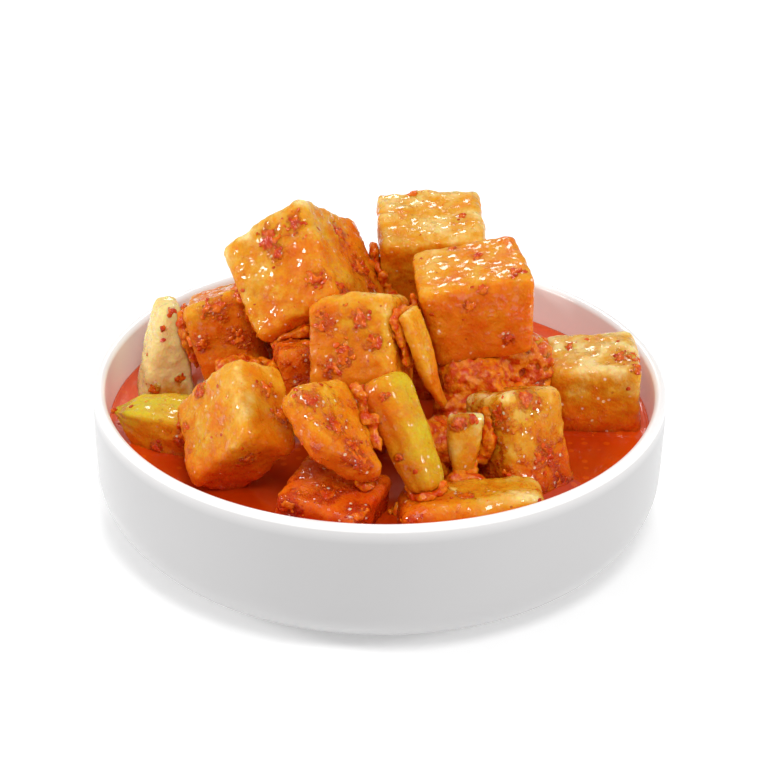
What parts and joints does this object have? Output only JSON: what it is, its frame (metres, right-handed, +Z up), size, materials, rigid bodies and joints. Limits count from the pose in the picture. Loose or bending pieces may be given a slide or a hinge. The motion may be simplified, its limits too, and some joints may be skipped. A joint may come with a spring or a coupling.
{
  "type": "bowl of cubed radish kimchi",
  "caption": "Cubes, wedges and stalks of radish kimchi heaped in red brine, in a plain low round white dish.",
  "frame": {"origin": "middle of the dish's flat base, on the table", "axes": "+Z up; the heap's shown side faces -Y, with +X to its right"},
  "size_m": [0.116, 0.116, 0.066],
  "materials": {
    "glazed_dish": "smooth white glaze",
    "brine": "wet, glossy red liquid",
    "radish": "wet pale radish under an orange film, with chilli flecks",
    "radish_in_red_paste": "wet radish thick with red paste",
    "green_stalk": "wet yellow-green ribbed stalk"
  },
  "bodies": {
    "root": {"brine": "brine", "chunk_centre_red": "radish_in_red_paste", "chunk_front_right": "radish", "cube_back": "radish", "cube_back_left": "radish", "cube_back_middle": "radish", "cube_back_right": "radish", "cube_behind_front_left": "radish_in_red_paste", "cube_centre_red": "radish_in_red_paste", "cube_crest_back": "radish", "cube_crest_left": "radish", "cube_crest_right": "radish", "cube_front_left": "radish", "cube_front_low": "radish_in_red_paste", "cube_left_red": "radish_in_red_paste", "cube_middle": "radish", "cube_middle_left": "radish_in_red_paste", "cube_right": "radish", "cube_right_front": "radish", "cube_right_red": "radish_in_red_paste", "cube_under_back": "radish", "cube_under_left": "radish", "cube_under_middle": "radish", "cube_under_right": "radish", "dish": "glazed_dish", "petal_front": "radish", "slice_leaning": "radish", "slice_right_red": "radish_in_red_paste", "stalk_front": "green_stalk", "stalk_left": "green_stalk", "wedge_front": "radish_in_red_paste", "wedge_left_pale": "radish"}
  },
  "joints": []
}
